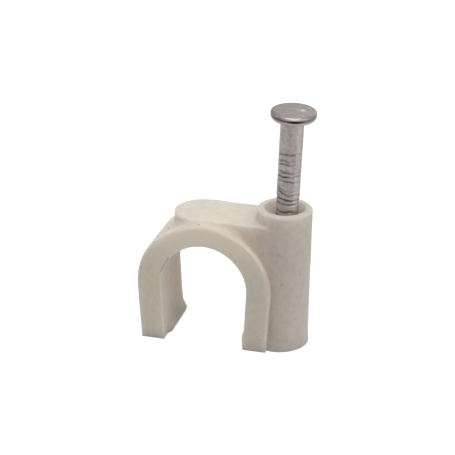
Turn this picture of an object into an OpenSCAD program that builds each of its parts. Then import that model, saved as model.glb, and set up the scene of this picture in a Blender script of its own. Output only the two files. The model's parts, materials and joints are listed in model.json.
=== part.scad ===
/* [Cable hook] */
// Diameter of the round cable that the hook takes
cable_d = 10; // [8:0.1:12]
// Height of the cable's centre above the wall
cable_rise = 7.15; // [6.5:0.05:9]
// Thickness of the hook at the top of its legs
hook_wall = 2.75; // [2:0.05:3.2]
// Thickness of the hook at its crown
crown_wall = 2.45; // [2:0.05:3]
// Length of the hook along the cable
hook_depth = 7.7; // [7:0.1:11]
// Lean of the legs' outer faces, in towards the feet, in degrees
leg_lean_out = 3.3; // [1:0.1:5]
// Lean of the legs' inner faces, in towards the feet, in degrees
leg_lean_in = 2.8; // [1:0.1:4]
// Radius on the hook's outer edges
hook_round = 0.25; // [0.1:0.05:0.5]

/* [Lips at the feet] */
// How far the free leg's lip stands proud at its crest
free_lip_out = 0.45; // [0.2:0.01:0.6]
// How far the free leg's lip stands proud at the wall
free_lip_foot = 0.33; // [0.1:0.01:0.5]
// Height of the free leg's lip at its crest
free_lip_crest = 0.5; // [0.3:0.05:1]
// Height at which the free leg's lip starts
free_lip_top = 1.6; // [1.3:0.05:2.4]
// How far the boss leg's lip stands proud at its crest
boss_lip_out = 0.2; // [0.1:0.01:0.5]
// How far the boss leg's lip stands proud at the wall
boss_lip_foot = 0.04; // [0.02:0.01:0.2]
// Height of the boss leg's lip at its crest
boss_lip_crest = 1.6; // [0.8:0.05:1.9]
// Height at which the boss leg's lip starts
boss_lip_top = 2.6; // [2.2:0.05:3.4]
// Bare stretch of leg past the end of each lip
lip_set = 1.3; // [0.5:0.1:2]
// Length over which a lip's end slopes away
lip_slope = 0.9; // [0.3:0.1:1.5]

/* [Nail boss] */
// Distance from the cable's centre to the centre of the boss
boss_reach = 8.25; // [8:0.05:9]
// Diameter of the boss at its rim
boss_d = 6.08; // [5.6:0.02:6.6]
// Diameter of the boss at the wall
boss_foot_d = 5.84; // [5.4:0.02:6.6]
// Height of the boss above the wall
boss_h = 16.4; // [15.8:0.1:19]
// Radius on the rim of the boss
boss_round = 0.3; // [0.1:0.05:0.4]
// Diameter of the mouth that the nail goes in by
mouth_d = 4.5; // [3.6:0.1:4.8]
// Depth of the mouth
mouth_depth = 2.2; // [1:0.1:4]

/* [Rib] */
// Width of the rib along the crown
rib_w = 5.7; // [4.6:0.05:5.7]
// Height of the rib's top above the hook's crown
rib_step = 0.35; // [0.1:0.05:0.8]
// How far the centre of the rib's round end lies past the cable's centre
rib_past = 1.3; // [0.6:0.1:2]
// Radius on the rib's top edge
rib_round = 0.2; // [0.1:0.05:0.5]

/* [Nail] */
// Diameter of the nail's shank
nail_d = 2.56; // [2.2:0.02:2.8]
// Length of the nail over all
nail_l = 27; // [25:0.5:27]
// Height of the nail's top above the wall, before it is driven in
nail_stand = 27.65; // [27.3:0.05:30]
// Lean of the nail in its boss, in degrees
nail_lean = 1.9; // [0:0.1:2.5]
// Diameter of the nail's head
head_d = 4.95; // [4.8:0.05:5.4]
// How far the head sits off the shank's centre
head_off = 0.09; // [0:0.01:0.2]
// Thickness of the nail's head
head_h = 0.9; // [0.7:0.05:1.2]
// Radius on the head's top edge
head_round = 0.16; // [0.08:0.02:0.24]
// Height of the bevel under the head
head_bevel_h = 0.35; // [0.2:0.05:0.4]
// Inset of the bevel under the head
head_bevel_in = 0.1; // [0.1:0.05:0.3]
// Plain stretch of shank below the head
plain_l = 3.65; // [2:0.1:6]
// Distance between ring grooves
ring_pitch = 0.8; // [0.6:0.05:1.2]
// Width of a ring groove
ring_w = 0.26; // [0.16:0.02:0.4]
// Depth of a ring groove
ring_depth = 0.07; // [0.04:0.01:0.12]
// Length of the nail's point
point_l = 3; // [2:0.1:4]
// Diameter of the blunt end of the point
point_d = 0.3; // [0.1:0.05:0.6]

/* [Fits] */
// Gap all round the nail in its bore
nail_gap = 0.05; // [0.02:0.01:0.1]

/* [Hidden] */
$fn = 96;
// One overrun serves every cut
overrun = 1;
// Angle between the points of a drawn arc
rim_step = 15;

// Hook
// The legs' outer faces lie this far inside the round back's, on all sides
leg_inset = 0.02;
cable_r = cable_d / 2;
back_r = cable_r + hook_wall;
back_rise = cable_rise + cable_r + crown_wall - back_r;
half_depth = hook_depth / 2;
leg_l = back_rise + overrun;
// Boss and rib
boss_r = boss_d / 2;
boss_foot_r = boss_foot_d / 2;
mouth_r = mouth_d / 2;
rib_r = rib_w / 2;
rib_top = back_rise + back_r + rib_step;
rib_l = rib_past + boss_reach;
// Nail
nail_r = nail_d / 2;
head_r = head_d / 2;
bore_r = nail_r + nail_gap;
head_under = nail_l - head_h;
ring_top = head_under - plain_l;
ring_count = floor((ring_top - point_l - ring_w) / ring_pitch) + 1;
// The nail leans about the middle of the boss
pivot_rise = boss_h / 2;
top_from_pivot = (nail_stand - pivot_rise) / cos(nail_lean);
head_reach = boss_reach + top_from_pivot * sin(nail_lean) + (head_r + head_off) * cos(nail_lean);
// The origin lies on the wall, under the middle of the whole part
mid_x = (max(boss_reach + boss_r, head_reach) - back_r) / 2;

// Distance of a leg's inner face from the cable's centre, at height z
function leg_inner(z) = (cable_r - (cable_rise - z) * sin(leg_lean_in)) / cos(leg_lean_in);

// Half of a slab with its two outer corners rounded
module rounded_half(reach, half, r) {
    translate([0, -half]) square([reach - r, 2 * half]);
    translate([0, r - half]) square([reach, 2 * (half - r)]);
    for (side = [-1, 1])
        translate([reach - r, side * (half - r)]) circle(r);
}

// Half of an upright section with its outer top corner rounded
module rounded_top(reach, height, r) {
    square([reach, height - r]);
    square([reach - r, height]);
    translate([reach - r, height - r]) circle(r);
}

// Round back of the hook, drawn as a whole disc
module hook_back() {
    translate([0, 0, back_rise])
        rotate([90, 0, 0])
            rotate_extrude()
                rounded_half(back_r, half_depth, hook_round);
}

// Leg at +X, which runs down from the round back
module leg() {
    translate([0, 0, back_rise])
        rotate([0, leg_lean_out, 0])
            mirror([0, 0, 1])
                linear_extrude(leg_l)
                    rounded_half(back_r - leg_inset, half_depth - leg_inset, hook_round);
}

// Space for the cable, open at the feet
module cable_space() {
    rotate([90, 0, 0])
        linear_extrude(hook_depth + 2 * overrun, center = true)
            union() {
                translate([0, cable_rise]) circle(cable_r);
                polygon([
                    [leg_inner(-overrun), -overrun],
                    [cable_r * cos(leg_lean_in), cable_rise - cable_r * sin(leg_lean_in)],
                    [-cable_r * cos(leg_lean_in), cable_rise - cable_r * sin(leg_lean_in)],
                    [-leg_inner(-overrun), -overrun],
                ]);
            }
}

// Lip on the inner face of the leg at +X, sloping away towards its end at +Y
module lip(out, foot, crest, top) {
    // Both slopes run on into the leg by a share of their own length
    bite_share = 0.5;
    root = leg_inner(top) + hook_wall / 4;
    crest_x = leg_inner(crest) - out;
    tip_x = leg_inner(0) - out;
    bite_x = leg_inner(top) + bite_share * out;
    ramp = (top - crest) / (leg_inner(top) - crest_x);
    full_y = half_depth - lip_set - lip_slope;
    intersection() {
        rotate([90, 0, 0])
            linear_extrude(hook_depth, center = true)
                polygon([
                    [bite_x, crest + ramp * (bite_x - crest_x)],
                    [crest_x, crest],
                    [leg_inner(0) - foot, 0],
                    [root, 0],
                    [root, crest + ramp * (bite_x - crest_x)],
                ]);
        linear_extrude(2 * top)
            polygon([
                [tip_x - out, -half_depth],
                [root, -half_depth],
                [root, full_y + lip_slope / out * (bite_x - tip_x)],
                [bite_x, full_y + lip_slope / out * (bite_x - tip_x)],
                [tip_x, full_y],
                [tip_x - out, full_y - lip_slope],
            ]);
    }
}

// Rounded rib along the crown, from its round end to the boss
module rib() {
    rib_h = rib_top - back_rise;
    translate([-rib_past, 0, back_rise]) {
        rotate_extrude() rounded_top(rib_r, rib_h, rib_round);
        rotate([90, 0, 90])
            linear_extrude(rib_l) {
                rounded_top(rib_r, rib_h, rib_round);
                mirror([1, 0]) rounded_top(rib_r, rib_h, rib_round);
            }
    }
}

// Round boss that holds the nail, a little narrower at the wall
module boss() {
    rim = [
        for (turn = [0:rim_step:90])
            [boss_r - boss_round * (1 - cos(turn)), boss_h - boss_round * (1 - sin(turn))]
    ];
    translate([boss_reach, 0, 0])
        rotate_extrude()
            polygon(concat([[0, 0], [boss_foot_r, 0]], rim, [[0, boss_h]]));
}

// Everything that is drawn along the nail's leaning axis
module on_nail_axis() {
    translate([boss_reach, 0, pivot_rise])
        rotate([0, nail_lean, 0])
            translate([0, 0, top_from_pivot - nail_l])
                children();
}

// Bore for the nail, with its widened mouth
module nail_way() {
    on_nail_axis() translate([0, 0, -nail_l]) cylinder(r = bore_r, h = 3 * nail_l);
    translate([boss_reach, 0, 0])
        rotate_extrude()
            polygon([
                [0, boss_h - mouth_depth],
                [bore_r, boss_h - mouth_depth],
                [mouth_r, boss_h],
                [mouth_r, boss_h + overrun],
                [0, boss_h + overrun],
            ]);
}

// Everything that lies below the wall's surface
module below_wall() {
    span = boss_reach + boss_r + back_r;
    translate([-span, -span, -span]) cube([2 * span, 2 * span, span]);
}

// The moulded clip
module clip_body() {
    color("#d6cec3")
        translate([-mid_x, 0, 0]) {
            difference() {
                union() {
                    hook_back();
                    leg();
                    mirror([1, 0, 0]) leg();
                    rib();
                    boss();
                }
                cable_space();
                nail_way();
                below_wall();
            }
            lip(boss_lip_out, boss_lip_foot, boss_lip_crest, boss_lip_top);
            rotate([0, 0, 180]) lip(free_lip_out, free_lip_foot, free_lip_crest, free_lip_top);
        }
}

// The ring-grooved nail
module nail() {
    rings = [
        for (i = [ring_count - 1:-1:0]) let (z = ring_top - i * ring_pitch)
            each [[nail_r, z - ring_w / 2], [nail_r - ring_depth, z], [nail_r, z + ring_w / 2]]
    ];
    color("#9b9a97")
        translate([-mid_x, 0, 0])
            on_nail_axis() {
                rotate_extrude()
                    polygon(concat(
                        [[0, 0], [point_d / 2, 0], [nail_r, point_l]],
                        rings,
                        [[nail_r, nail_l - head_round], [0, nail_l - head_round]]
                    ));
                translate([head_off, 0, head_under])
                    rotate_extrude() {
                        polygon([
                            [0, 0],
                            [head_r - head_bevel_in, 0],
                            [head_r, head_bevel_h],
                            [0, head_bevel_h],
                        ]);
                        translate([0, head_bevel_h])
                            rounded_top(head_r, head_h - head_bevel_h, head_round);
                    }
            }
}

clip_body();
nail();
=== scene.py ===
import json
import math

import bpy
import numpy as np
from mathutils import Matrix, Vector


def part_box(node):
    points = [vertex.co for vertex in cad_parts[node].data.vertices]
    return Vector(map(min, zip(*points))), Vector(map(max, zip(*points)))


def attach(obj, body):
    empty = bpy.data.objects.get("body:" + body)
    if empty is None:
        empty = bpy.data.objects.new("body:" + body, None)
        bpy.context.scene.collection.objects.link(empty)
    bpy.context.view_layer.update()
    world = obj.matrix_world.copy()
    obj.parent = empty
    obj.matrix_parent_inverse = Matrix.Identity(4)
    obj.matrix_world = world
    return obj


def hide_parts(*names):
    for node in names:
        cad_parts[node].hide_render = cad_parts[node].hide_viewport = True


bl_info = {
    "name": "Nail in Cable Clip",
    "version": (1, 0, 0),
    "blender": (4, 5, 0),
    "location": "View3D > Sidebar > Cable Clip",
    "description": "Builds the visible surfaces of a moulded cable clip and of the nail that it comes with",
    "category": "Object",
}

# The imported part, in metres. Its mounts and its joint give the sizes that the looks share with it
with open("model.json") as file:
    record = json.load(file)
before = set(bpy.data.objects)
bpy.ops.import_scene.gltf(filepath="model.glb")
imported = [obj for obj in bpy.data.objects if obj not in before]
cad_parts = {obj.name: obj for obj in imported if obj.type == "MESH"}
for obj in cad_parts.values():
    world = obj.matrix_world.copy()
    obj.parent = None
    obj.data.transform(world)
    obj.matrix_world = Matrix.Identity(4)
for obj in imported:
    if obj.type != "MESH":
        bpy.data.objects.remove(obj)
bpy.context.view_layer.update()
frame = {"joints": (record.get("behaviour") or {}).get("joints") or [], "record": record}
mounts = {mount["name"]: mount for mount in frame["record"]["mounts"]}
drive_axis = Vector(frame["joints"][0]["axis"]).normalized()
clip_low, clip_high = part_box("clip_body")
nail_low, nail_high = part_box("nail")
MM = 0.001
CABLE_X = mounts["cable_saddle"]["pos_m"][0]

# What follows is in millimetres from the cable's centre line at the wall: x towards the nail, z off the wall

# Lips inside the feet: height of the crest, how far it stands proud there and at the wall, and its top
FREE_LIP = (0.5, 0.45, 0.33, 1.6)
BOSS_LIP = (1.6, 0.2, 0.04, 2.6)
# Each lip ends at one face of the hook, this far in and at this slope
LIP_SET = 1.4
LIP_SLOPE = 0.9
# Crease on the front face beside the cable's space, from one x and z to another
CREASE = ((-4.9, 8.65), (-4.05, 10.31))
# Pinprick specks of dirt: where each lies, its reach, and how strong it is
SPECKS = (
    ((-4.543, -2.008, 13.108), 0.18, 0.95),
    ((-0.6, -3.29, 14.57), 0.13, 0.5),
    ((8.78, -2.92, 8.33), 0.2, 0.2),
    ((10.55, -1.89, 9.43), 0.2, 0.18),
    ((8.37, -3.04, 11.95), 0.2, 0.2),
    ((6.5, -3.84, 1.58), 0.12, 0.2),
    ((-6.6, 2.6, 4.9), 0.12, 0.3),
    ((9.4, 2.8, 5.2), 0.13, 0.35),
)

# The softboxes round the part: name, place and width in metres, and the setting that holds the watts
SOFTBOXES = (
    ("overhead softbox", (0, -0.02, 0.16), 0.12, "top_watts"),
    ("hook side softbox", (-0.22, -0.02, 0.12), 0.15, "hook_side_watts"),
    ("boss side softbox", (0.25, -0.06, 0.08), 0.15, "boss_side_watts"),
    ("back softbox", (0.05, 0.2, 0.12), 0.12, "back_watts"),
)

# Sizes and colours that a user would change

class ClipSizes(bpy.types.PropertyGroup):
    """Sizes and colours of the moulded clip"""

    cable_radius: bpy.props.FloatProperty(
        name="Cable radius", description="Radius of the round cable that the hook takes",
        default=mounts["cable_saddle"]["dims"]["r_mm"] * MM, precision=5, unit="LENGTH")
    cable_rise: bpy.props.FloatProperty(
        name="Cable height", description="Height of the cable's centre above the wall",
        default=mounts["cable_saddle"]["pos_m"][2], precision=5, unit="LENGTH")
    hook_depth: bpy.props.FloatProperty(
        name="Hook depth", description="Length of the hook along the cable",
        default=mounts["cable_saddle"]["dims"]["length_mm"] * MM, precision=5, unit="LENGTH")
    hook_wall: bpy.props.FloatProperty(
        name="Leg wall", description="Thickness of the hook at the top of its legs",
        default=0.00275, precision=5, unit="LENGTH")
    crown_wall: bpy.props.FloatProperty(
        name="Crown wall", description="Thickness of the hook at its crown",
        default=0.00245, precision=5, unit="LENGTH")
    lean_out: bpy.props.FloatProperty(
        name="Outer lean", description="Lean of the legs' outer faces, in towards the feet",
        default=math.radians(3.3), subtype="ANGLE")
    lean_in: bpy.props.FloatProperty(
        name="Inner lean", description="Lean of the legs' inner faces, in towards the feet",
        default=math.radians(2.8), subtype="ANGLE")
    edge_radius: bpy.props.FloatProperty(
        name="Outer edges", description="Radius on the hook's outer edges",
        default=0.00015, precision=5, unit="LENGTH")
    inner_radius: bpy.props.FloatProperty(
        name="Inner edges", description="Radius on the edges of the cable's space",
        default=0.00011, precision=5, unit="LENGTH")
    rib_width: bpy.props.FloatProperty(
        name="Rib width", description="Width of the rounded rib along the crown",
        default=0.00610, precision=5, unit="LENGTH")
    rib_shift: bpy.props.FloatProperty(
        name="Rib shift", description="How far the rib lies off the hook's middle, away from the front",
        default=0.00013, precision=5, unit="LENGTH")
    rib_past: bpy.props.FloatProperty(
        name="Rib end", description="How far the centre of the rib's round end lies past the cable's",
        default=0.0013, precision=5, unit="LENGTH")
    rib_step: bpy.props.FloatProperty(
        name="Rib step", description="Height of the rib's top above the hook's crown",
        default=0.00036, precision=5, unit="LENGTH")
    rib_radius: bpy.props.FloatProperty(
        name="Rib edge", description="Radius on the rib's top edge",
        default=0.00022, precision=5, unit="LENGTH")
    rib_fillet: bpy.props.FloatProperty(
        name="Rib fillet", description="Radius of the fillet where the rib meets the hook",
        default=0.0007, precision=5, unit="LENGTH")
    boss_radius: bpy.props.FloatProperty(
        name="Boss radius", description="Radius of the nail boss at its rim",
        default=0.00308, precision=5, unit="LENGTH")
    boss_foot_radius: bpy.props.FloatProperty(
        name="Boss foot radius", description="Radius of the nail boss at the wall",
        default=0.00295, precision=5, unit="LENGTH")
    boss_reach: bpy.props.FloatProperty(
        name="Boss reach", description="Distance from the cable's centre to the centre of the boss",
        default=0.00825, precision=5, unit="LENGTH")
    boss_rim: bpy.props.FloatProperty(
        name="Boss rim", description="Radius on the outer edge of the boss's rim",
        default=0.00036, precision=5, unit="LENGTH")
    mouth_radius: bpy.props.FloatProperty(
        name="Mouth radius", description="Radius of the mouth that the nail goes in by",
        default=0.00225, precision=5, unit="LENGTH")
    mouth_depth: bpy.props.FloatProperty(
        name="Mouth depth", description="Depth of the widened mouth",
        default=0.0022, precision=5, unit="LENGTH")
    bore_radius: bpy.props.FloatProperty(
        name="Bore radius", description="Radius of the nail's bore",
        default=0.00133, precision=5, unit="LENGTH")
    grid_step: bpy.props.FloatProperty(
        name="Grid step", description="Spacing of the grid that the clip's surface is drawn on",
        default=0.0001, precision=5, unit="LENGTH")
    faces_kept: bpy.props.FloatProperty(
        name="Faces kept", description="Share of the grid's faces kept after thinning",
        default=0.5, min=0.05, max=1.0, subtype="FACTOR")
    plastic: bpy.props.StringProperty(
        name="Plastic", description="Colour of the moulded plastic, as an sRGB hex value",
        default="#E3D9CC")
    plastic_warm: bpy.props.StringProperty(
        name="Plastic, warm", description="Warmer cast of the plastic where it is thick", default="#D8CEC1")
    # Painted light: a paler colour laid on the crown's faces where more light falls
    crown_painted_light: bpy.props.StringProperty(
        name="Plastic, pale", description="Paler plastic at the rims of the crown, which filled last",
        default="#EBDFD0")
    boss_tint: bpy.props.StringProperty(
        name="Tint over the nail", description="How the nail tints the plastic that stands round it",
        default="#FDFAFC")
    # Colour of the dirt specks, and also of the painted shade in the crease
    speck_and_crease_shade: bpy.props.StringProperty(
        name="Specks", description="Colour of the pinprick specks of dirt", default="#4E463E")


class NailSizes(bpy.types.PropertyGroup):
    """Sizes and colours of the nail"""

    shank_radius: bpy.props.FloatProperty(
        name="Shank radius", description="Radius of the nail's shank",
        default=0.00128, precision=5, unit="LENGTH")
    length: bpy.props.FloatProperty(
        name="Length", description="Length of the nail over all",
        default=0.027, precision=5, unit="LENGTH")
    head_radius: bpy.props.FloatProperty(
        name="Head radius", description="Radius of the nail's head",
        default=0.002475, precision=6, unit="LENGTH")
    head_height: bpy.props.FloatProperty(
        name="Head thickness", description="Thickness of the nail's head",
        default=0.0009, precision=5, unit="LENGTH")
    head_offset: bpy.props.FloatProperty(
        name="Head offset", description="How far the head sits off the shank's centre",
        default=0.00009, precision=5, unit="LENGTH")
    head_tilt: bpy.props.FloatProperty(
        name="Head tilt", description="How far the head sits out of square with the shank, towards the front",
        default=math.radians(1.7), subtype="ANGLE")
    plain_length: bpy.props.FloatProperty(
        name="Plain shank", description="Plain stretch of shank below the head",
        default=0.00384, precision=5, unit="LENGTH")
    point_length: bpy.props.FloatProperty(
        name="Point length", description="Length of the nail's point",
        default=0.003, precision=5, unit="LENGTH")
    ring_pitch: bpy.props.FloatProperty(
        name="Ring pitch", description="Distance between ring grooves",
        default=0.00065, precision=5, unit="LENGTH")
    ring_width: bpy.props.FloatProperty(
        name="Ring width", description="Width of a ring groove",
        default=0.0004, precision=5, unit="LENGTH")
    ring_depth: bpy.props.FloatProperty(
        name="Ring depth", description="Depth of a ring groove",
        default=0.00008, precision=5, unit="LENGTH")
    ring_tilt: bpy.props.FloatProperty(
        name="Ring tilt", description="Steepest slope of a ring groove out of square", default=0.11)
    ring_wander: bpy.props.FloatProperty(
        name="Ring wander", description="How far a ring groove strays up and down as it goes round",
        default=0.00064, precision=5, unit="LENGTH")
    seed: bpy.props.IntProperty(
        name="Seed", description="Seed for the uneven depth and tilt of the rings", default=5915)
    steel: bpy.props.StringProperty(
        name="Steel", description="Colour of the bare steel, as an sRGB hex value", default="#ABA5A1")
    steel_dark: bpy.props.StringProperty(
        name="Steel, dull", description="Duller steel between the worn places", default="#847D78")
    # Colour of the worn places and also of the painted highlights, glint and reflections on the nail
    steel_wear_and_highlight: bpy.props.StringProperty(
        name="Steel, worn", description="Steel worn bright along the edges", default="#D8D4D0")
    # Colour of the painted shade in the grooves
    groove: bpy.props.StringProperty(
        name="Groove dirt", description="Dark dirt left in the grooves", default="#4A4541")
    # Colour of the painted dark reflection round the head's side and the painted shade on its top
    oxide: bpy.props.StringProperty(
        name="Oxide", description="Black oxide left round the side of the head", default="#25211F")


class StageSizes(bpy.types.PropertyGroup):
    """Camera, lamps and floor"""

    azimuth: bpy.props.FloatProperty(
        name="Azimuth", description="Camera's turn round the part",
        default=math.radians(15.311), subtype="ANGLE")
    elevation: bpy.props.FloatProperty(
        name="Elevation", description="Camera's height above the horizon",
        default=math.radians(24.137), subtype="ANGLE")
    roll: bpy.props.FloatProperty(
        name="Roll", description="Camera's turn about its own line of sight",
        default=math.radians(0.256), subtype="ANGLE")
    aim: bpy.props.FloatVectorProperty(
        name="Aim", description="Point at the middle of the picture", size=3,
        default=(-0.000118, 0.0, 0.013138), precision=6, subtype="TRANSLATION")
    distance: bpy.props.FloatProperty(
        name="Distance", description="Distance from the camera to the aim",
        default=0.145390, precision=5, unit="LENGTH")
    focal_length: bpy.props.FloatProperty(
        name="Focal length", description="Focal length in millimetres on a 36 mm sensor", default=102.857)
    backdrop: bpy.props.StringProperty(
        name="Backdrop", description="Colour of the floor and backdrop, as an sRGB hex value",
        default="#FFFFFF")
    floor_tint: bpy.props.StringProperty(
        name="Floor", description="Colour of the floor as it lights the part", default="#E0E0E0")
    floor_shade: bpy.props.StringProperty(
        name="Floor in shade", description="How much light the visible floor takes on top of its own white",
        default="#7C7C7C")
    floor_glow: bpy.props.FloatProperty(
        name="Floor glow", description="Strength of the light that comes up through the floor",
        default=0.05)
    world_level: bpy.props.FloatProperty(
        name="Surrounding light", description="Strength of the light from all sides", default=0.113)
    top_watts: bpy.props.FloatProperty(
        name="Overhead lamp", description="Power in watts of the lamp overhead", default=0.167)
    hook_side_watts: bpy.props.FloatProperty(
        name="Hook side lamp", description="Power in watts of the lamp at the hook's side", default=0.065)
    boss_side_watts: bpy.props.FloatProperty(
        name="Boss side lamp", description="Power in watts of the lamp at the boss's side", default=0.147)
    back_watts: bpy.props.FloatProperty(
        name="Back lamp", description="Power in watts of the lamp behind the part", default=0.077)


# Small helpers

def linear(hex_code):
    """An sRGB hex colour as the linear colour that the shaders work in."""
    parts = [int(hex_code[i:i + 2], 16) / 255 for i in (1, 3, 5)]
    return tuple(v / 12.92 if v <= 0.04045 else ((v + 0.055) / 1.055) ** 2.4 for v in parts) + (1.0,)


def add_node(tree, kind, inputs=None, **settings):
    """Adds a node, sets its properties, and gives each input a value, another socket or another node.

    A node stands for the first of its outputs that is in use."""
    node = tree.nodes.new(kind)
    for key, value in settings.items():
        setattr(node, key, value)
    for key, value in (inputs or {}).items():
        socket = node.inputs[key]
        if isinstance(value, bpy.types.Node):
            value = next(output for output in value.outputs if output.enabled)
        if isinstance(value, bpy.types.NodeSocket):
            tree.links.new(value, socket)
        else:
            socket.default_value = value
    return node


def seen_plainly(tree):
    """Whether a ray comes from the camera, straight or by way of a shiny surface, as a node."""
    path = add_node(tree, "ShaderNodeLightPath").outputs
    return add_node(tree, "ShaderNodeMath", {
        0: path["Is Camera Ray"], 1: path["Is Glossy Ray"]}, operation="MAXIMUM")


def new_material(name):
    """An empty node material with its output, and the tree that the nodes go in."""
    material = bpy.data.materials.new(name)
    material.use_nodes = True
    material.node_tree.nodes.clear()
    return material, material.node_tree


def as_plain_mesh(obj):
    """Bakes an object's modifiers into its mesh and takes them off."""
    evaluated = obj.evaluated_get(bpy.context.evaluated_depsgraph_get())
    mesh = bpy.data.meshes.new_from_object(evaluated)
    old = obj.data
    obj.modifiers.clear()
    obj.data = mesh
    mesh.name = obj.name
    bpy.data.meshes.remove(old)
    return mesh


def new_object(name, data):
    """Puts a mesh, a lamp or a camera in the scene under a name."""
    obj = bpy.data.objects.new(name, data)
    bpy.context.scene.collection.objects.link(obj)
    return obj


# Distance fields, in millimetres, negative inside

def round_meet(a, b, radius):
    """What two forms share, with a rounded edge where they meet."""
    edge = np.hypot(np.maximum(radius + a, 0), np.maximum(radius + b, 0))
    return np.minimum(-radius, np.maximum(a, b)) + edge


def fillet_join(a, b, radius):
    """Two forms joined, with a hollow fillet where they meet."""
    return -round_meet(-a, -b, radius)


def ramp(value, start, end):
    """How far a value has come from the start to the end, from 0 to 1."""
    return np.clip((value - start) / (end - start), 0, 1)


def tangent_legs(x, z, radius, rise, lean):
    """A round back that runs on down in two straight legs, tangent to it and leaning in."""
    side = np.abs(x)
    across = side * math.cos(lean) + (rise - z) * math.sin(lean) - radius
    along = -side * math.sin(lean) + (rise - z) * math.cos(lean)
    return np.where(along > 0, across, np.hypot(side, z - rise) - radius)


def clip_field(sizes):
    """The moulded clip as one distance field, around the cable's centre line."""
    mm = {key: getattr(sizes, key) / MM for key in (
        "cable_radius", "cable_rise", "hook_depth", "hook_wall", "crown_wall", "edge_radius",
        "inner_radius",
        "rib_width", "rib_shift", "rib_past", "rib_step", "rib_radius", "rib_fillet", "boss_radius",
        "boss_foot_radius", "boss_reach", "boss_rim", "mouth_radius", "mouth_depth", "bore_radius")}
    back_r = mm["cable_radius"] + mm["hook_wall"]
    back_rise = mm["cable_rise"] + mm["cable_radius"] + mm["crown_wall"] - back_r
    rib_top = back_rise + back_r + mm["rib_step"]
    half = mm["hook_depth"] / 2
    boss_h = clip_high.z / MM
    boss_x = mm["boss_reach"]
    # The nail's axis, which leans about the middle of the boss
    pivot = np.array([boss_x, 0, boss_h / 2])
    axis = -np.array(drive_axis)
    (crease_x, crease_z), crease_end = CREASE
    crease_long = math.dist(*CREASE)
    crease_way = ((crease_end[0] - crease_x) / crease_long, (crease_end[1] - crease_z) / crease_long)
    # Unevenness left by the mould: how full the free shoulder is, at what turn from the crown and how wide,
    # how lean the boss's side is, and how the faces draw in towards the crown
    shoulder_full, shoulder_turn, shoulder_wide = 0.12, -1.02, 0.24
    side_lean = 0.16
    draw_in, draw_from, draw_to = 0.05, 11.3, 14.7

    def lip(z, end_gap, crest, out, foot, top):
        up = foot + (out - foot) * z / crest
        down = out * (top - z) / (top - crest)
        away = out * (end_gap - LIP_SET) / LIP_SLOPE
        height = fillet_join(np.minimum(up, out), down, 0.06)
        height = np.minimum(height, np.minimum(away, out))
        return np.maximum(height, 0)

    def field(x, y, z):
        outer = tangent_legs(x, z, back_r, back_rise, sizes.lean_out)
        turn = np.arctan2(x, z - back_rise)
        outer = outer - shoulder_full * np.exp(-((turn - shoulder_turn) / shoulder_wide) ** 2)
        outer = outer + side_lean * ramp(x, 1, 5) * (1 - 0.3 * ramp(z, 2, 0))
        face = np.abs(y) - half + draw_in * (draw_to - draw_from) * ramp(z, draw_from, draw_to)
        hook = round_meet(outer, face, mm["edge_radius"] * (0.75 + 2.6 * ramp(z, 11.6, 13.8) ** 2))
        # Rib along the crown, which ends inside the boss
        nearest = np.clip(x, -mm["rib_past"], boss_x - mm["boss_radius"] * 0.4)
        rib_side = np.hypot(x - nearest, y - mm["rib_shift"]) - mm["rib_width"] / 2
        rib = round_meet(rib_side, z - rib_top, mm["rib_radius"])
        rib = np.maximum(rib, back_rise - z)
        # Its fillet dies away down the hook's flank
        body = fillet_join(hook, rib, mm["rib_fillet"] * (0.07 + 0.93 * ramp(z, 11, 14) ** 2))
        # Boss, narrower towards the wall, with a slight flare at its foot
        round_out = np.hypot(x - boss_x, y)
        taper = mm["boss_foot_radius"] + (mm["boss_radius"] - mm["boss_foot_radius"]) * z / boss_h
        taper = taper + 0.1 * ramp(z, 2.4, 0) ** 2
        # Thin skirt round the front of its foot, on the hook's side
        front = np.clip((-0.42 * (x - boss_x) - 0.91 * y) / np.maximum(round_out, 0.5), 0, 1)
        taper = taper + 0.42 * front ** 2 * ramp(z, 1.3, 0) ** 1.5
        boss = round_meet(round_out - taper, z - boss_h, mm["boss_rim"])
        body = fillet_join(body, boss, 0.08 + 0.2 * ramp(z, 12, 14.5))
        # Cable's space, narrowed by the lips at the feet
        proud = np.where(x < 0, lip(z, y + half, *FREE_LIP), lip(z, half - y, *BOSS_LIP))
        space = tangent_legs(x, z, mm["cable_radius"], mm["cable_rise"], sizes.lean_in) + proud
        space = space + 0.08 * ramp(x, 0.5, 3.5)
        body = round_meet(body, -space, mm["inner_radius"])
        # Bore along the leaning axis, and its widened mouth
        dx, dy, dz = x - pivot[0], y - pivot[1], z - pivot[2]
        run = dx * axis[0] + dz * axis[2]
        bore = np.sqrt(np.maximum(dx * dx + dy * dy + dz * dz - run * run, 0)) - mm["bore_radius"]
        flare = (mm["mouth_radius"] - mm["bore_radius"]) / mm["mouth_depth"]
        cone_radius = mm["bore_radius"] + (z - boss_h + mm["mouth_depth"]) * flare
        mouth = (round_out - cone_radius) / math.hypot(1, flare)
        mouth = np.maximum(mouth, round_out - mm["mouth_radius"] - 0.1)
        opening = fillet_join(bore, mouth, 0.2)
        body = round_meet(body, -opening, 0.16)
        # Crease on the front face
        from_x, from_z = x - crease_x, z - crease_z
        along = np.clip(from_x * crease_way[0] + from_z * crease_way[1], 0, crease_long)
        off = np.hypot(from_x - along * crease_way[0], from_z - along * crease_way[1])
        off = np.hypot(off, y + half)
        body = body + 0.06 * ramp(off, 0.13, 0)
        # Faint waves left by the plastic as it shrank
        wave = np.sin(x * 1.1 + y * 0.7 + 1.3) * np.sin(z * 0.9 + y * 1.3 + 0.4)
        wave = wave + np.sin(x * 0.6 - z * 1.4 + y)
        body = body + 0.006 * (2 + wave)
        # The feet, flat on the wall
        return round_meet(body, -z, 0.07)

    return field


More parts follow.
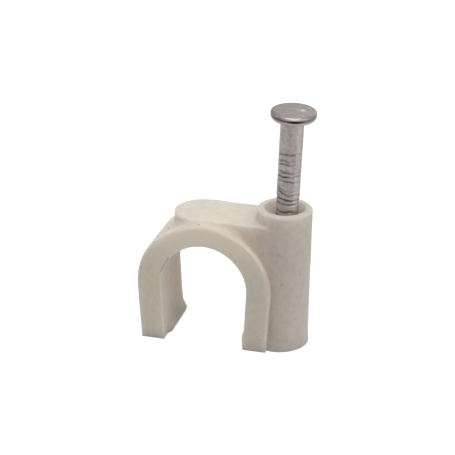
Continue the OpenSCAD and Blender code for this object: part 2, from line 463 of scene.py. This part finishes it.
def wrap_field(field, low, high, step):
    """Wraps the zero level of a field in quads, with one vertex in each grid cell that it crosses."""
    counts = np.ceil((high - low) / step).astype(int) + 1
    lines = [low[i] + step * np.arange(counts[i]) for i in range(3)]
    grid = np.meshgrid(*lines, indexing="ij")
    value = field(*grid)
    inside = value < 0
    cells = tuple(counts - 1)
    total = np.zeros(cells + (3,))
    hits = np.zeros(cells)

    def part(array, starts):
        return array[tuple(slice(s, s + n) for s, n in zip(starts, cells))]

    for axis in range(3):
        others = [i for i in range(3) if i != axis]
        for first in (0, 1):
            for second in (0, 1):
                near = [0, 0, 0]
                near[others[0]], near[others[1]] = first, second
                far = list(near)
                far[axis] = 1
                a, b = part(value, near), part(value, far)
                crossed = (a < 0) != (b < 0)
                share = np.where(crossed, a / np.where(crossed, a - b, 1), 0)
                for i in range(3):
                    total[..., i] += np.where(crossed, share if i == axis else near[i], 0)
                hits += crossed
    used = hits > 0
    index = np.full(cells, -1)
    index[used] = np.arange(used.sum())
    corner = np.argwhere(used)
    points = low + (corner + total[used] / hits[used][:, None]) * step
    quads = []
    for axis in range(3):
        u, v = (axis + 1) % 3, (axis + 2) % 3
        span = [slice(None)] * 3
        span[axis] = slice(0, counts[axis] - 1)
        span[u] = span[v] = slice(1, -1)
        ahead = list(span)
        ahead[axis] = slice(1, counts[axis])
        here, there = inside[tuple(span)], inside[tuple(ahead)]
        place = np.argwhere(here != there)
        place[:, u] += 1
        place[:, v] += 1
        flip = ~here[here != there]
        ring = []
        for du, dv in ((-1, -1), (0, -1), (0, 0), (-1, 0)):
            cell = place.copy()
            cell[:, u] += du
            cell[:, v] += dv
            ring.append(index[cell[:, 0], cell[:, 1], cell[:, 2]])
        ring = np.stack(ring, axis=1)
        ring[flip] = ring[flip][:, ::-1]
        quads.append(ring)
    return points, np.concatenate(quads)


def field_slope(field, points, reach=0.004):
    """The field's direction of growth at each point, by central differences."""
    slope = np.zeros_like(points)
    for i in range(3):
        shift = np.zeros(3)
        shift[i] = reach
        slope[:, i] = (field(*(points + shift).T) - field(*(points - shift).T)) / (2 * reach)
    return slope


def settle(field, points, rounds, limit):
    """Moves points onto the field's zero level, by no more than the limit in each round."""
    for _ in range(rounds):
        slope = field_slope(field, points)
        length = np.maximum((slope ** 2).sum(1), 0.05)
        move = -(field(*points.T) / length)[:, None] * slope
        size = np.linalg.norm(move, axis=1, keepdims=True)
        points = points + move * np.minimum(1, limit / np.maximum(size, 1e-9))
    return points


# Materials

def moulded_polyethylene(sizes):
    """Off-white polyethylene, moulded and left as it came. It gives the eye a soft satin surface with a
    faint cloudiness, a fine mould texture that breaks up the shine, and light that spreads inside it."""
    material, tree = new_material("moulded polyethylene, off-white")
    place = add_node(tree, "ShaderNodeTexCoord").outputs["Object"]
    # Mottling, 1.3 patches to the millimetre and finer grain in them
    cloud = add_node(tree, "ShaderNodeTexNoise", {
        "Vector": place, "Scale": 1.3 / MM, "Detail": 4.0, "Roughness": 0.8})
    tone = add_node(tree, "ShaderNodeMapRange", {"Value": cloud, "From Min": 0.35, "From Max": 0.65})
    base = add_node(tree, "ShaderNodeMix", {
        "Factor": tone, "A": linear(sizes.plastic), "B": linear(sizes.plastic_warm)},
        data_type="RGBA")
    # Painted light: the plastic is paler on the front and back faces towards the crown, where more light
    # falls
    part = add_node(tree, "ShaderNodeSeparateXYZ", {"Vector": place}).outputs
    side = add_node(tree, "ShaderNodeMath", {0: part["Y"]}, operation="ABSOLUTE")
    near_rim = add_node(tree, "ShaderNodeMapRange", {
        "Value": side, "From Min": 3.1 * MM, "From Max": 3.8 * MM})
    high = add_node(tree, "ShaderNodeMapRange", {
        "Value": part["Z"], "From Min": 8.5 * MM, "From Max": 13.8 * MM},
        interpolation_type="SMOOTHSTEP")
    pale = add_node(tree, "ShaderNodeMath", {0: near_rim, 1: high}, operation="MULTIPLY")
    base = add_node(tree, "ShaderNodeMix", {
        "Factor": pale, "A": base, "B": linear(sizes.crown_painted_light)},
        data_type="RGBA")
    # The nail greys the boss that stands round it
    centre = (CABLE_X + sizes.boss_reach, 0.0, 0.0)
    flat = add_node(tree, "ShaderNodeVectorMath", {0: place, 1: (1.0, 1.0, 0.0)}, operation="MULTIPLY")
    out = add_node(tree, "ShaderNodeVectorMath", {0: flat, 1: centre}, operation="DISTANCE")
    grey = add_node(tree, "ShaderNodeMapRange", {
        "Value": out, "From Min": sizes.boss_radius * 0.95,
        "From Max": sizes.boss_radius * 1.5, "To Min": 1.0, "To Max": 0.0}, interpolation_type="SMOOTHSTEP")
    base = add_node(tree, "ShaderNodeMix", {
        "Factor": grey, "A": base, "B": linear(sizes.boss_tint)},
        data_type="RGBA", blend_type="MULTIPLY")
    # Painted shade in the crease: how far each point lies from the crease's line, just under the rounded edge
    start, end = (Vector((CABLE_X + x * MM, 0.045 * MM - sizes.hook_depth / 2, z * MM)) for x, z in CREASE)
    way = end - start
    apart = add_node(tree, "ShaderNodeVectorMath", {0: place, 1: start}, operation="SUBTRACT")
    share = add_node(tree, "ShaderNodeVectorMath", {
        0: apart, 1: way / way.length_squared}, operation="DOT_PRODUCT")
    share = add_node(tree, "ShaderNodeClamp", {"Value": share})
    foot = add_node(tree, "ShaderNodeVectorMath", {0: way, "Scale": share}, operation="SCALE")
    away = add_node(tree, "ShaderNodeVectorMath", {0: apart, 1: foot}, operation="DISTANCE")
    marks = add_node(tree, "ShaderNodeMapRange", {
        "Value": away, "From Min": 0.03 * MM, "From Max": 0.14 * MM,
        "To Min": 0.4, "To Max": 0.0})
    # Specks of dirt
    for (x, y, z), reach, strength in SPECKS:
        away = add_node(tree, "ShaderNodeVectorMath", {
            0: place, 1: (CABLE_X + x * MM, y * MM, z * MM)}, operation="DISTANCE")
        mark = add_node(tree, "ShaderNodeMapRange", {
            "Value": away, "From Min": reach * MM * 0.5, "From Max": reach * MM * 1.2,
            "To Min": strength, "To Max": 0.0})
        marks = add_node(tree, "ShaderNodeMath", {0: marks, 1: mark}, operation="MAXIMUM")
    colour = add_node(tree, "ShaderNodeMix", {
        "Factor": marks, "A": base, "B": linear(sizes.speck_and_crease_shade)}, data_type="RGBA")
    # Satin that varies a little from place to place
    sheen = add_node(tree, "ShaderNodeTexNoise", {"Vector": place, "Scale": 0.9 / MM, "Detail": 2.0})
    rough = add_node(tree, "ShaderNodeMapRange", {
        "Value": sheen, "From Min": 0.3, "From Max": 0.7, "To Min": 0.55, "To Max": 0.66})
    # Fine texture of the mould, drawn at 0.15 mm so that it shows
    grain = add_node(tree, "ShaderNodeTexNoise", {"Vector": place, "Scale": 6.5 / MM, "Detail": 2.0})
    fine = add_node(tree, "ShaderNodeBump", {"Strength": 0.5, "Distance": 0.02 * MM, "Height": grain})
    slow = add_node(tree, "ShaderNodeBump", {
        "Strength": 0.5, "Distance": 0.03 * MM, "Height": sheen,
        "Normal": fine})
    shader = add_node(tree, "ShaderNodeBsdfPrincipled", {
        "Base Color": colour, "Roughness": rough, "IOR": 1.51,
        "Normal": slow, "Subsurface Weight": 0.82, "Subsurface Scale": 5 * MM,
        "Subsurface Radius": (1.0, 0.88, 0.75)})
    add_node(tree, "ShaderNodeOutputMaterial", {"Surface": shader})
    return material


def drawn_steel(sizes):
    """Hardened steel wire, drawn, headed and ring-grooved, without plating. It gives the eye a dull grey
    with mottled worn places, painted highlights on the head's edges, a painted dark reflection round its
    side, and painted shade in the grooves."""
    material, tree = new_material("drawn steel, dull")
    place = add_node(tree, "ShaderNodeTexCoord").outputs["Object"]
    # Mottling, 1.9 patches to the millimetre, and painted light where the shank is lighter on one side
    cloud = add_node(tree, "ShaderNodeTexNoise", {
        "Vector": place, "Scale": 1.9 / MM, "Detail": 4.0, "Roughness": 0.65})
    drawn = add_node(tree, "ShaderNodeAttribute", attribute_name="drawn")
    both = add_node(tree, "ShaderNodeMath", {0: cloud, 1: drawn.outputs["Fac"]}, operation="ADD")
    tone = add_node(tree, "ShaderNodeMapRange", {"Value": both, "From Min": 0.3, "From Max": 0.8})
    colour = add_node(tree, "ShaderNodeMix", {
        "Factor": tone, "A": linear(sizes.steel_dark), "B": linear(sizes.steel)},
        data_type="RGBA")
    # Wear with painted highlights, painted shade in the grooves, and the painted dark reflection, one over
    # the other
    for name, over in (("worn", sizes.steel_wear_and_highlight), ("groove", sizes.groove), ("oxide", sizes.oxide)):
        amount = add_node(tree, "ShaderNodeAttribute", attribute_name=name)
        colour = add_node(tree, "ShaderNodeMix", {
            "Factor": amount.outputs["Fac"], "A": colour, "B": linear(over)},
            data_type="RGBA")
    # Fine unevenness of the shine, drawn at 0.14 mm so that it shows
    fine = add_node(tree, "ShaderNodeTexNoise", {"Vector": place, "Scale": 7 / MM, "Detail": 3.0})
    rough = add_node(tree, "ShaderNodeMapRange", {
        "Value": fine, "From Min": 0.3, "From Max": 0.7, "To Min": 0.3, "To Max": 0.5})
    bump = add_node(tree, "ShaderNodeBump", {"Strength": 0.4, "Distance": 0.02 * MM, "Height": cloud})
    shader = add_node(tree, "ShaderNodeBsdfPrincipled", {
        "Base Color": colour, "Metallic": 1.0, "Roughness": rough,
        "Normal": bump})
    add_node(tree, "ShaderNodeOutputMaterial", {"Surface": shader})
    return material


# The nail

def lathe(profile, turns):
    """A closed turned form. Each entry of the profile is a ring's radius, height and shift along X."""
    angle = np.linspace(0, 2 * math.pi, turns, endpoint=False)
    rings = [np.stack([r * np.cos(angle) + off, r * np.sin(angle), np.full(turns, z)], axis=1)
             for r, z, off in profile[1:-1]]
    ends = [(profile[0][2], 0, profile[0][1]), (profile[-1][2], 0, profile[-1][1])]
    points = np.concatenate([np.array([ends[0]])] + rings + [np.array([ends[1]])])
    faces = []
    last = len(points) - 1
    for i in range(turns):
        j = (i + 1) % turns
        faces.append((0, 1 + j, 1 + i))
        for k in range(len(rings) - 1):
            a, b = 1 + k * turns, 1 + (k + 1) * turns
            faces.append((a + i, a + j, b + j, b + i))
        top = 1 + (len(rings) - 1) * turns
        faces.append((top + i, top + j, last))
    return points, faces


def nail_profile(sizes):
    """The nail's outline from its point to the top of its head, in metres along its own axis."""
    shank, top, off = sizes.shank_radius, sizes.length, sizes.head_offset
    under = top - sizes.head_height
    head = sizes.head_radius
    tip, neck, row = 0.15 * MM, 0.3 * MM, 0.06 * MM
    bevel_in, bevel_high, rim = 0.16 * MM, 0.34 * MM, 0.22 * MM
    quarter = math.pi / 2
    # Blunt point
    out = [(0, 0, 0), (tip * 0.7, 0, 0), (tip, tip * 0.4, 0)]
    cone = 24
    for i in range(1, cone + 1):
        share = i / cone
        out.append((tip + (shank - tip) * math.sin(share * quarter) ** 0.9, sizes.point_length * share, 0))
    # Shank, in rows fine enough for the ring grooves
    long = under - neck - sizes.point_length
    rows = int(long / row)
    out += [(shank, sizes.point_length + long * i / rows, 0) for i in range(1, rows + 1)]
    # Small fillet under the head
    for i in range(1, 7):
        turn = i / 6 * quarter
        out.append((shank + neck * (1 - math.cos(turn)), under - neck * (1 - math.sin(turn)), off * i / 6))
    # Under the head, and over the small round at its lower corner
    inner, lower = shank + neck, head - bevel_in
    small = 0.02 * MM
    steps = [(inner + (lower - inner) * i / 6, under) for i in range(1, 6)]
    steps += [(lower - 4 * small, under), (lower - small, under + small)]
    # Bevel, side, rounded rim and top
    start = under + 2 * small
    bevel_end = under + bevel_high
    steps += [(lower + bevel_in * i / 5, start + (bevel_end - start) * i / 5) for i in range(1, 6)]
    steps += [(head, bevel_end + (top - rim - bevel_end) * i / 3) for i in range(1, 4)]
    for i in range(1, 9):
        turn = i / 8 * quarter
        steps.append((head - rim * (1 - math.cos(turn)), top - rim * (1 - math.sin(turn))))
    steps += [((head - rim) * (1 - i / 30), top) for i in range(1, 30)]
    return out + [(radius, z, off) for radius, z in steps] + [(0, top, off)]


def nail_wear_and_painted_light(points, sizes):
    """Wear and painted light on the nail at each point: bright places on the head, partly wear and partly
    painted highlights and reflections, its painted dark reflection and shade, and how light the shank is
    painted round its side.
    """
    x, y = points[:, 0] / MM, points[:, 1] / MM
    angle = np.arctan2(y, x)
    # How far below the top of the head each point lies, and how far out
    fall = (sizes.length - points[:, 2]) / MM
    radius = np.hypot(x - sizes.head_offset / MM, y)
    rim = sizes.head_radius / MM
    shank = sizes.shank_radius / MM

    def arc(middle, width):
        apart = np.abs((angle - math.radians(middle) + math.pi) % (2 * math.pi) - math.pi)
        return np.exp(-(apart / math.radians(width)) ** 2)

    # Bright along the top edge in a few places, a painted highlight at the front and wear elsewhere, and a
    # painted glint at one small spot on top
    edge = ramp(np.abs(fall - 0.16), 0.09, 0) ** 0.5 * (radius > rim - 0.2)
    painted_glint = np.exp(-(np.hypot(x - 1.0, y - 0.3) / 0.24) ** 2) * (fall < 0.02)
    worn = edge * (0.1 + 0.95 * arc(-77, 20) + 0.5 * arc(70, 30) + 0.6 * arc(175, 14))
    worn = np.maximum(worn, 0.8 * painted_glint)
    # Painted light on the shank where it goes down into the mouth
    mouth_painted_light = ramp(fall, 10.4, 11.0) * ramp(fall, 14.5, 13.5) * (radius < shank + 0.1)
    worn = np.maximum(worn, 0.32 * mouth_painted_light)
    # Painted reflection of the floor on the bevel below the head's side
    bevel = ramp(fall, 0.56, 0.62) * (radius > rim - 0.2)
    worn = np.maximum(worn, 0.4 * bevel)
    # Painted dark reflection round the side of the head, below the bright edge, and painted shade in a faint
    # ring on top
    band = ramp(fall, 0.22, 0.29) * np.clip((0.55 + 0.08 * arc(-72, 20) - fall) / 0.1, 0, 1)
    patches = 0.75 * arc(-75, 22) + 0.32 * arc(-125, 34) + 0.4 * arc(110, 40)
    oxide = band * (0.3 + patches + 0.08 * np.sin(5 * angle))
    ring = ramp(radius, rim - 0.5, rim) * ramp(fall, 0.3, 0.2)
    oxide = np.maximum(oxide, ring * (0.3 + 0.2 * arc(165, 50) - 0.3 * arc(-70, 26)))
    oxide = oxide * (radius > shank + 0.4)
    # Painted light: the shank lighter on its right front side and a little at the back, with a few die lines
    drawn = 0.04 + 0.24 * arc(-38, 24) - 0.05 * arc(-75, 30) + 0.12 * arc(150, 40)
    drawn = drawn - 0.1 * arc(-57, 3) - 0.08 * arc(20, 4)
    drawn = drawn + 0.03 * np.sin(9 * angle + 0.7) + 0.02 * np.sin(23 * angle)
    on_shank = (radius < shank + 0.3) & (fall > sizes.head_height / MM)
    return {"worn": worn, "oxide": oxide, "drawn": np.where(on_shank, drawn, -0.16)}


def ring_tree(material):
    """The node tree that presses the ring grooves into the shank, each with its own depth and tilt."""
    tree = bpy.data.node_groups.new("ring grooves", "GeometryNodeTree")
    face = tree.interface
    face.new_socket("Geometry", in_out="INPUT", socket_type="NodeSocketGeometry")
    for name in ("Pitch", "Width", "Depth", "Lowest", "Highest", "Tilt", "Wander"):
        face.new_socket(name, in_out="INPUT", socket_type="NodeSocketFloat")
    face.new_socket("Seed", in_out="INPUT", socket_type="NodeSocketInt")
    face.new_socket("Geometry", in_out="OUTPUT", socket_type="NodeSocketGeometry")
    given = add_node(tree, "NodeGroupInput").outputs

    # The number of the ring that each point is nearest to
    place = add_node(tree, "GeometryNodeInputPosition")
    height = add_node(tree, "ShaderNodeSeparateXYZ", {"Vector": place}).outputs["Z"]
    rise = add_node(tree, "ShaderNodeMath", {0: height, 1: given["Lowest"]}, operation="SUBTRACT")
    pitches = add_node(tree, "ShaderNodeMath", {0: rise, 1: given["Pitch"]}, operation="DIVIDE")
    number = add_node(tree, "ShaderNodeMath", {0: pitches}, operation="ROUND")
    spreads = []
    for shift, low, high in ((0, -1.0, 1.0), (1, -1.0, 1.0), (2, -0.4, 0.4), (3, 0.45, 1.0)):
        seed = add_node(tree, "ShaderNodeMath", {0: given["Seed"], 1: float(shift)}, operation="ADD")
        spreads.append(add_node(tree, "FunctionNodeRandomValue", {
            "Min": low, "Max": high, "ID": number, "Seed": seed}, data_type="FLOAT"))
    tilt_x, tilt_y, slip, strength = spreads
    # Height above the ring's own plane, which is tilted and a little off its even place
    slope = add_node(tree, "ShaderNodeCombineXYZ", {"X": tilt_x, "Y": tilt_y})
    lean = add_node(tree, "ShaderNodeVectorMath", {0: place, 1: slope}, operation="DOT_PRODUCT")
    above = add_node(tree, "ShaderNodeMath", {
        0: lean, 1: given["Tilt"], 2: rise}, operation="MULTIPLY_ADD")
    slot = add_node(tree, "ShaderNodeMath", {0: number, 1: slip}, operation="ADD")
    middle = add_node(tree, "ShaderNodeMath", {0: slot, 1: given["Pitch"]}, operation="MULTIPLY")
    above = add_node(tree, "ShaderNodeMath", {0: above, 1: middle}, operation="SUBTRACT")
    # Each ring wanders up and down as it goes round
    drift = add_node(tree, "ShaderNodeTexNoise", {"Vector": place, "Scale": 0.7 / MM, "Detail": 1.0})
    drift = add_node(tree, "ShaderNodeMath", {0: drift, 1: 0.5}, operation="SUBTRACT")
    above = add_node(tree, "ShaderNodeMath", {
        0: drift, 1: given["Wander"], 2: above}, operation="MULTIPLY_ADD")
    off = add_node(tree, "ShaderNodeMath", {0: above}, operation="ABSOLUTE")
    reach = add_node(tree, "ShaderNodeMath", {0: given["Width"], 1: 0.5}, operation="MULTIPLY")
    press = add_node(tree, "ShaderNodeMapRange", {
        "Value": off, "From Min": 0.0, "From Max": reach, "To Min": 1.0, "To Max": 0.0},
        interpolation_type="SMOOTHSTEP")
    # Unevenness round each ring
    rough = add_node(tree, "ShaderNodeTexNoise", {"Vector": place, "Scale": 0.9 / MM, "Detail": 2.0})
    uneven = add_node(tree, "ShaderNodeMapRange", {
        "Value": rough, "From Min": 0.38, "From Max": 0.62, "To Min": 0.35, "To Max": 1.2})
    # Rings only between the point and the plain stretch
    floor = add_node(tree, "ShaderNodeMath", {0: given["Pitch"], 1: -0.5}, operation="MULTIPLY")
    over = add_node(tree, "ShaderNodeMath", {0: rise, 1: floor}, operation="GREATER_THAN")
    below = add_node(tree, "ShaderNodeMath", {0: height, 1: given["Highest"]}, operation="LESS_THAN")
    # Fainter on one side, where the wire met the edge of the rolls
    flat = add_node(tree, "ShaderNodeVectorMath", {0: place, 1: (1.0, 1.0, 0.0)}, operation="MULTIPLY")
    outwards = add_node(tree, "ShaderNodeVectorMath", {0: flat}, operation="NORMALIZE")
    facing = add_node(tree, "ShaderNodeVectorMath", {
        0: outwards, 1: (0.91, -0.42, 0.0)}, operation="DOT_PRODUCT")
    faint = add_node(tree, "ShaderNodeMapRange", {
        "Value": facing, "From Min": 0.72, "From Max": 0.98, "To Min": 1.0, "To Max": 0.45},
        interpolation_type="SMOOTHSTEP")
    for share in (strength, uneven, over, below,
                  faint):
        press = add_node(tree, "ShaderNodeMath", {0: press, 1: share}, operation="MULTIPLY")
    # The surface moves in, and keeps how deep each place is pressed for the painted shade in the grooves
    kept = add_node(tree, "GeometryNodeStoreNamedAttribute", {
        "Geometry": given["Geometry"], "Name": "groove", "Value": press}, data_type="FLOAT", domain="POINT")
    depth = add_node(tree, "ShaderNodeMath", {0: press, 1: given["Depth"]}, operation="MULTIPLY")
    back = add_node(tree, "ShaderNodeMath", {0: depth, 1: -1.0}, operation="MULTIPLY")
    inwards = add_node(tree, "ShaderNodeVectorMath", {0: outwards, "Scale": back}, operation="SCALE")
    moved = add_node(tree, "GeometryNodeSetPosition", {"Geometry": kept, "Offset": inwards})
    real = add_node(tree, "GeometryNodeRealizeInstances", {"Geometry": moved})
    done = add_node(tree, "GeometryNodeSetMaterial", {"Geometry": real, "Material": material})
    add_node(tree, "NodeGroupOutput", {"Geometry": done})
    return tree


# Operators

class BuildClipBody(bpy.types.Operator):
    """Build the moulded clip: hook, legs with their lips, rib and boss in one piece"""

    bl_idname = "cable_clip.build_body"
    bl_label = "Moulded clip"

    def execute(self, context):
        sizes = context.scene.cable_clip_body
        field = clip_field(sizes)
        shift = np.array([CABLE_X, 0, 0]) / MM
        step = sizes.grid_step / MM
        # The grid reaches a few steps past the piece on every side
        spare = 2.5 * step
        low = np.array(clip_low) / MM - shift - spare
        high = np.array(clip_high) / MM - shift + spare
        points, quads = wrap_field(field, low, high, step)
        points = settle(field, points, 2, step)
        mesh = bpy.data.meshes.new("clip")
        mesh.from_pydata((points * MM).tolist(), [], quads.tolist())
        obj = new_object("moulded_clip", mesh)
        thin = obj.modifiers.new("thin out", "DECIMATE")
        thin.ratio = sizes.faces_kept
        mesh = as_plain_mesh(obj)
        if len(mesh.polygons) == 0:
            raise RuntimeError("The clip's surface came out empty")
        # Every vertex goes back onto the true surface, and takes its normal from it
        flat = np.zeros(len(mesh.vertices) * 3)
        mesh.vertices.foreach_get("co", flat)
        points = settle(field, flat.reshape(-1, 3) / MM, 2, step / 2)
        mesh.vertices.foreach_set("co", ((points + shift) * MM).ravel())
        slope = field_slope(field, points)
        normals = slope / np.maximum(np.linalg.norm(slope, axis=1, keepdims=True), 1e-9)
        mesh.polygons.foreach_set("use_smooth", [True] * len(mesh.polygons))
        mesh.update()
        mesh.normals_split_custom_set_from_vertices(normals.tolist())
        mesh.materials.append(moulded_polyethylene(sizes))
        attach(obj, "clip")
        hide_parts("clip_body")
        return {"FINISHED"}


class BuildNail(bpy.types.Operator):
    """Build the ring-grooved nail along its leaning axis"""

    bl_idname = "cable_clip.build_nail"
    bl_label = "Nail"

    def execute(self, context):
        sizes = context.scene.cable_clip_nail
        points, faces = lathe(nail_profile(sizes), 96)
        marks = nail_wear_and_painted_light(points, sizes)
        # The head sits a little out of square, from a short way below it
        bend = 0.3 * MM
        under = sizes.length - sizes.head_height
        points[:, 2] += ramp(points[:, 2], under - bend, under) * points[:, 1] * math.tan(sizes.head_tilt)
        mesh = bpy.data.meshes.new("nail")
        mesh.from_pydata(points.tolist(), [], faces)
        mesh.polygons.foreach_set("use_smooth", [True] * len(mesh.polygons))
        for name, value in marks.items():
            layer = mesh.attributes.new(name, "FLOAT", "POINT")
            layer.data.foreach_set("value", value.astype(np.float32))
        obj = new_object("ring_grooved_nail", mesh)
        steel = drawn_steel(sizes)
        mesh.materials.append(steel)
        tree = ring_tree(steel)
        rings = obj.modifiers.new("rings", "NODES")
        rings.node_group = tree
        # The top ring's middle lies a little below the highest point that a ring may reach
        reach = 0.2 * MM
        highest = under - sizes.plain_length + reach
        count = math.floor((highest - sizes.point_length) / sizes.ring_pitch)
        values = {
            "Pitch": sizes.ring_pitch, "Width": sizes.ring_width, "Depth": sizes.ring_depth,
            "Lowest": highest - reach - count * sizes.ring_pitch, "Highest": highest,
            "Tilt": sizes.ring_tilt, "Wander": sizes.ring_wander, "Seed": sizes.seed}
        for item in tree.interface.items_tree:
            if item.in_out == "INPUT" and item.name in values:
                rings[item.identifier] = values[item.name]
        mesh = as_plain_mesh(obj)
        if len(mesh.polygons) == 0:
            raise RuntimeError("The nail's surface came out empty")
        # Laid along the slide, through the middle of the boss, with its top as high as the CAD nail's
        up = -drive_axis
        mesh.transform(Vector((0, 0, 1)).rotation_difference(up).to_matrix().to_4x4())
        reach_of_boss = context.scene.cable_clip_body.boss_reach
        pivot = Vector((CABLE_X + reach_of_boss, 0, clip_high.z / 2))
        top = max(v.co.z for v in mesh.vertices)
        mesh.transform(Matrix.Translation(pivot + up * (nail_high.z - pivot.z - top) / up.z))
        mesh.update()
        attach(obj, "nail")
        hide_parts("nail")
        return {"FINISHED"}


class BuildStage(bpy.types.Operator):
    """Set up the floor, the backdrop, the lamps and the camera"""

    bl_idname = "cable_clip.build_stage"
    bl_label = "Stage"

    def execute(self, context):
        sizes = context.scene.cable_clip_stage
        scene = context.scene
        scene.view_settings.view_transform = "Standard"
        self.floor(sizes)
        self.world(scene, sizes)
        for name, place, width, watts in SOFTBOXES:
            self.lamp(name, Vector(place), width, getattr(sizes, watts))
        self.camera(scene, sizes)
        if scene.camera is None:
            raise RuntimeError("The stage has no camera")
        return {"FINISHED"}

    def floor(self, sizes):
        """A plain floor that looks like the backdrop, yet takes the part's shadow."""
        half, rise = 1.5, -0.02 * MM
        corners = [(x, y, rise) for x, y in ((-half, -half), (half, -half), (half, half), (-half, half))]
        mesh = bpy.data.meshes.new("floor")
        mesh.from_pydata(corners, [], [(0, 1, 2, 3)])
        obj = new_object("floor", mesh)
        material, tree = new_material("plain floor")
        # To the eye it is its own white, a touch less near the part so that a faint shadow shows there
        middle = add_node(tree, "ShaderNodeTexCoord").outputs["Object"]
        far = add_node(tree, "ShaderNodeVectorMath", {0: middle}, operation="LENGTH")
        level = add_node(tree, "ShaderNodeMapRange", {
            "Value": far, "From Min": 30 * MM, "From Max": 90 * MM,
            "To Min": 0.93, "To Max": 1.0})
        white = add_node(tree, "ShaderNodeEmission", {"Color": linear(sizes.backdrop), "Strength": level})
        shade = add_node(tree, "ShaderNodeBsdfDiffuse", {"Color": linear(sizes.floor_shade)})
        shown = add_node(tree, "ShaderNodeAddShader", {0: white, 1: shade})
        # The table is white and a little translucent, so that some light comes up through it
        tint = add_node(tree, "ShaderNodeBsdfDiffuse", {"Color": linear(sizes.floor_tint)})
        glow = add_node(tree, "ShaderNodeEmission", {"Strength": sizes.floor_glow})
        lit = add_node(tree, "ShaderNodeAddShader", {0: tint, 1: glow})
        mix = add_node(tree, "ShaderNodeMixShader", {"Fac": seen_plainly(tree), 1: lit, 2: shown})
        add_node(tree, "ShaderNodeOutputMaterial", {"Surface": mix})
        mesh.materials.append(material)

    def world(self, scene, sizes):
        """A white backdrop to the eye and in reflections, and a softer level of light on the part."""
        world = bpy.data.worlds.new("studio")
        world.use_nodes = True
        tree = world.node_tree
        tree.nodes.clear()
        path = add_node(tree, "ShaderNodeLightPath").outputs
        seen = add_node(tree, "ShaderNodeMath", {
            0: seen_plainly(tree), 1: path["Is Transmission Ray"]}, operation="MAXIMUM")
        white = add_node(tree, "ShaderNodeBackground", {"Color": linear(sizes.backdrop), "Strength": 1.0})
        light = add_node(tree, "ShaderNodeBackground", {
            "Color": linear(sizes.backdrop), "Strength": sizes.world_level})
        mix = add_node(tree, "ShaderNodeMixShader", {"Fac": seen, 1: light, 2: white})
        add_node(tree, "ShaderNodeOutputWorld", {"Surface": mix})
        scene.world = world

    def lamp(self, name, place, width, watts):
        """A square softbox aimed at the middle of the part."""
        light = bpy.data.lights.new(name, "AREA")
        light.energy = watts
        light.size = width
        obj = new_object(name, light)
        obj.location = place
        obj.rotation_euler = (Vector((0, 0, 10 * MM)) - place).to_track_quat("-Z", "Y").to_euler()

    def camera(self, scene, sizes):
        """The camera at the viewing angle that the part was sized from."""
        a, e, roll = sizes.azimuth, sizes.elevation, sizes.roll
        sight = Vector((-math.sin(a) * math.cos(e), math.cos(a) * math.cos(e), -math.sin(e)))
        level = Vector((math.cos(a), math.sin(a), 0))
        rise = level.cross(sight)
        right = level * math.cos(roll) + rise * math.sin(roll)
        up = rise * math.cos(roll) - level * math.sin(roll)
        lens = bpy.data.cameras.new("camera")
        lens.lens = sizes.focal_length
        lens.sensor_width = 36
        lens.clip_start, lens.clip_end = 0.005, 10
        obj = new_object("camera", lens)
        turn = Matrix((right, up, -sight)).transposed().to_4x4()
        obj.matrix_world = Matrix.Translation(Vector(sizes.aim) - sight * sizes.distance) @ turn
        scene.camera = obj


class CableClipPanel(bpy.types.Panel):
    """Lists the sizes and the steps that build the part"""

    bl_idname = "VIEW3D_PT_cable_clip"
    bl_label = "Cable Clip"
    bl_space_type = "VIEW_3D"
    bl_region_type = "UI"
    bl_category = "Cable Clip"

    def draw(self, context):
        layout = self.layout
        for group, _, operator in GROUPS:
            box = layout.box()
            settings = getattr(context.scene, group)
            for key in settings.__annotations__:
                box.prop(settings, key)
            box.operator(operator.bl_idname)


# What each step keeps its settings under, what they are, and what builds from them
GROUPS = (
    ("cable_clip_stage", StageSizes, BuildStage),
    ("cable_clip_body", ClipSizes, BuildClipBody),
    ("cable_clip_nail", NailSizes, BuildNail),
)


def register():
    """Makes the classes and their settings known."""
    for group, settings, operator in GROUPS:
        bpy.utils.register_class(settings)
        bpy.utils.register_class(operator)
        setattr(bpy.types.Scene, group, bpy.props.PointerProperty(type=settings))
    bpy.utils.register_class(CableClipPanel)


def unregister():
    """Takes the settings and the classes away again."""
    bpy.utils.unregister_class(CableClipPanel)
    for group, settings, operator in reversed(GROUPS):
        delattr(bpy.types.Scene, group)
        bpy.utils.unregister_class(operator)
        bpy.utils.unregister_class(settings)


def main():
    register()
    bpy.ops.cable_clip.build_stage()
    bpy.ops.cable_clip.build_body()
    bpy.ops.cable_clip.build_nail()


if __name__ == "__main__":
    main()
